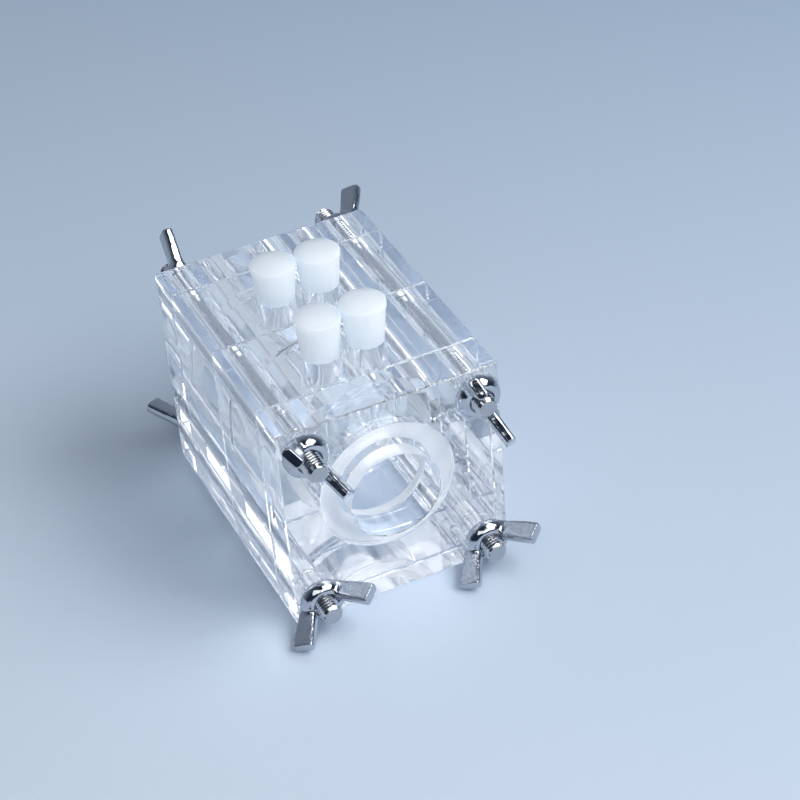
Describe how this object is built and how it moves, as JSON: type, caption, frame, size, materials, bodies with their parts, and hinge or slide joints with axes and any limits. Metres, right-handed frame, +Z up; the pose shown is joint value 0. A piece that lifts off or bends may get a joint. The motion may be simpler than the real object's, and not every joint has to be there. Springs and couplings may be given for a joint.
{
  "type": "electrochemical cell",
  "caption": "Clear acrylic cell for electrochemistry: a stack of blocks with round windows and bored chambers, clamped by steel tie rods with wing nuts, its ports shut by stoppers.",
  "frame": {"origin": "on the bottom face, at the middle of the stack", "axes": "+X to the right, +Y from the front end plate to the rear one, along the rods, +Z up"},
  "size_m": [0.0707, 0.1062, 0.0712],
  "materials": {
    "clear_acrylic": "clear, polished faces, fine machined bores",
    "clear_window": "polished disc",
    "silicone_gasket": "frosted translucent silicone",
    "clear_gasket": "clear silicone",
    "membrane": "clear polymer film",
    "steel_rod": "plain turned shank, rolled thread",
    "polished_steel": "tumbled and polished cast stainless steel",
    "silicone_stopper": "translucent bluish-white silicone, satin"
  },
  "bodies": {
    "cell": {"front_end_plate": "clear_acrylic", "front_chamber_block": "clear_acrylic", "front_window": "clear_window", "front_window_gasket": "silicone_gasket", "front_membrane_gasket": "clear_gasket", "rear_end_plate": "clear_acrylic", "rear_chamber_block": "clear_acrylic", "rear_window": "clear_window", "rear_window_gasket": "silicone_gasket", "rear_membrane_gasket": "clear_gasket", "membrane": "membrane", "tie_rod_upper_left": "steel_rod", "tie_rod_upper_right": "steel_rod", "tie_rod_lower_left": "steel_rod", "tie_rod_lower_right": "steel_rod"},
    "front_wing_nut_upper_left": {"front_wing_nut_upper_left": "polished_steel"},
    "front_wing_nut_upper_right": {"front_wing_nut_upper_right": "polished_steel"},
    "front_wing_nut_lower_left": {"front_wing_nut_lower_left": "polished_steel"},
    "front_wing_nut_lower_right": {"front_wing_nut_lower_right": "polished_steel"},
    "rear_wing_nut_upper_left": {"rear_wing_nut_upper_left": "polished_steel"},
    "rear_wing_nut_upper_right": {"rear_wing_nut_upper_right": "polished_steel"},
    "rear_wing_nut_lower_left": {"rear_wing_nut_lower_left": "polished_steel"},
    "rear_wing_nut_lower_right": {"rear_wing_nut_lower_right": "polished_steel"},
    "front_left_stopper": {"front_left_stopper": "silicone_stopper"},
    "front_right_stopper": {"front_right_stopper": "silicone_stopper"},
    "rear_left_stopper": {"rear_left_stopper": "silicone_stopper"},
    "rear_right_stopper": {"rear_right_stopper": "silicone_stopper"}
  },
  "joints": [
    {"name": "front_wing_nut_upper_left_turn", "type": "hinge", "parent": "cell", "child": "front_wing_nut_upper_left", "pos_m": [-0.02325, -0.0405, 0.05325], "axis": [0, -1, 0], "range_deg": [0, 3615]},
    {"name": "front_wing_nut_upper_right_turn", "type": "hinge", "parent": "cell", "child": "front_wing_nut_upper_right", "pos_m": [0.02325, -0.0405, 0.05325], "axis": [0, -1, 0], "range_deg": [0, 2745]},
    {"name": "front_wing_nut_lower_left_turn", "type": "hinge", "parent": "cell", "child": "front_wing_nut_lower_left", "pos_m": [-0.02325, -0.0405, 0.00675], "axis": [0, -1, 0], "range_deg": [0, 3180]},
    {"name": "front_wing_nut_lower_right_turn", "type": "hinge", "parent": "cell", "child": "front_wing_nut_lower_right", "pos_m": [0.02325, -0.0405, 0.00675], "axis": [0, -1, 0], "range_deg": [0, 2895]},
    {"name": "rear_wing_nut_upper_left_turn", "type": "hinge", "parent": "cell", "child": "rear_wing_nut_upper_left", "pos_m": [-0.02325, 0.0405, 0.05325], "axis": [0, 1, 0], "range_deg": [0, 3255]},
    {"name": "rear_wing_nut_upper_right_turn", "type": "hinge", "parent": "cell", "child": "rear_wing_nut_upper_right", "pos_m": [0.02325, 0.0405, 0.05325], "axis": [0, 1, 0], "range_deg": [0, 4110]},
    {"name": "rear_wing_nut_lower_left_turn", "type": "hinge", "parent": "cell", "child": "rear_wing_nut_lower_left", "pos_m": [-0.02325, 0.0405, 0.00675], "axis": [0, 1, 0], "range_deg": [0, 3675]},
    {"name": "rear_wing_nut_lower_right_turn", "type": "hinge", "parent": "cell", "child": "rear_wing_nut_lower_right", "pos_m": [0.02325, 0.0405, 0.00675], "axis": [0, 1, 0], "range_deg": [0, 3975]},
    {"name": "front_left_stopper_lift", "type": "slide", "parent": "cell", "child": "front_left_stopper", "axis": [0, 0, 1], "range_m": [0, 0.02]},
    {"name": "front_right_stopper_lift", "type": "slide", "parent": "cell", "child": "front_right_stopper", "axis": [0, 0, 1], "range_m": [0, 0.02]},
    {"name": "rear_left_stopper_lift", "type": "slide", "parent": "cell", "child": "rear_left_stopper", "axis": [0, 0, 1], "range_m": [0, 0.02]},
    {"name": "rear_right_stopper_lift", "type": "slide", "parent": "cell", "child": "rear_right_stopper", "axis": [0, 0, 1], "range_m": [0, 0.02]}
  ]
}
